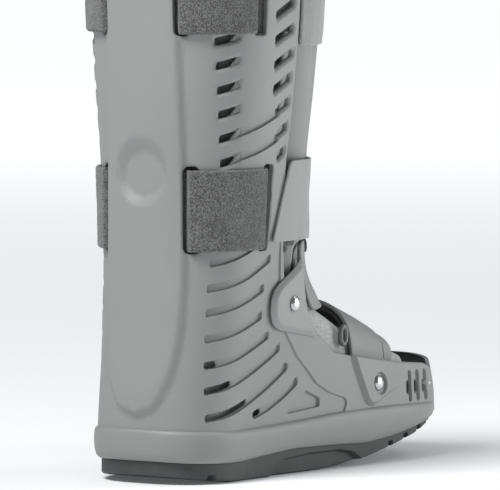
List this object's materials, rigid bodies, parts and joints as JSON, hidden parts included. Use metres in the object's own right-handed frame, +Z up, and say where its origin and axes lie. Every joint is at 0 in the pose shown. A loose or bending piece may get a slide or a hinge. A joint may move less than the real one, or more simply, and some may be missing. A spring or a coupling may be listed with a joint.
{
  "type": "medical walking boot",
  "caption": "Rigid-shell walking boot for an injured foot and ankle, with a rocker sole, soft liner, riveted ankle wings and wrap-round straps",
  "frame": {"origin": "centre of the boot's bounding box in plan, at the flat underside of the outsole, which is the plane it stands on", "axes": "+Z runs up the leg, -Y points to the toe, +Y to the heel and the spine, and -X is the side seen in the picture; the boot is the same on both sides but for two small rings and a tie end"},
  "size_m": [0.1308, 0.2939, 0.386],
  "materials": {
    "outsole": "fine moulded matte",
    "midsole": "smooth matte, moulded",
    "shell_plastic": "fine moulded texture",
    "panel_plastic": "fine moulded texture",
    "liner_foam": "brushed, light heather",
    "loop_strap": "napped dark heather loop",
    "twill_tab": "light grey twill",
    "coated_strap": "smooth coated cloth",
    "strap_lining": "napped dark loop",
    "rivet": "polished, slightly worn",
    "black_ring": "smooth black",
    "grey_ring": "smooth grey",
    "tie_cord": "light braided"
  },
  "bodies": {
    "root": {"outsole": "outsole", "midsole": "midsole", "shell": "shell_plastic", "front_panel": "panel_plastic", "liner": "liner_foam", "top_strap": "loop_strap", "mid_strap": "loop_strap", "top_strap_tab": "twill_tab", "mid_strap_tab": "twill_tab", "ankle_plate_left": "shell_plastic", "ankle_plate_right": "shell_plastic", "ankle_strap": "coated_strap", "ankle_strap_lining": "strap_lining", "forefoot_strap": "coated_strap", "forefoot_strap_lining": "strap_lining", "forefoot_strap_end": "coated_strap", "ankle_rivet_left": "rivet", "ankle_rivet_right": "rivet", "forefoot_rivet_left": "rivet", "forefoot_rivet_right": "rivet", "ankle_ring": "black_ring", "forefoot_ring": "grey_ring", "toe_tie": "tie_cord"}
  },
  "joints": []
}
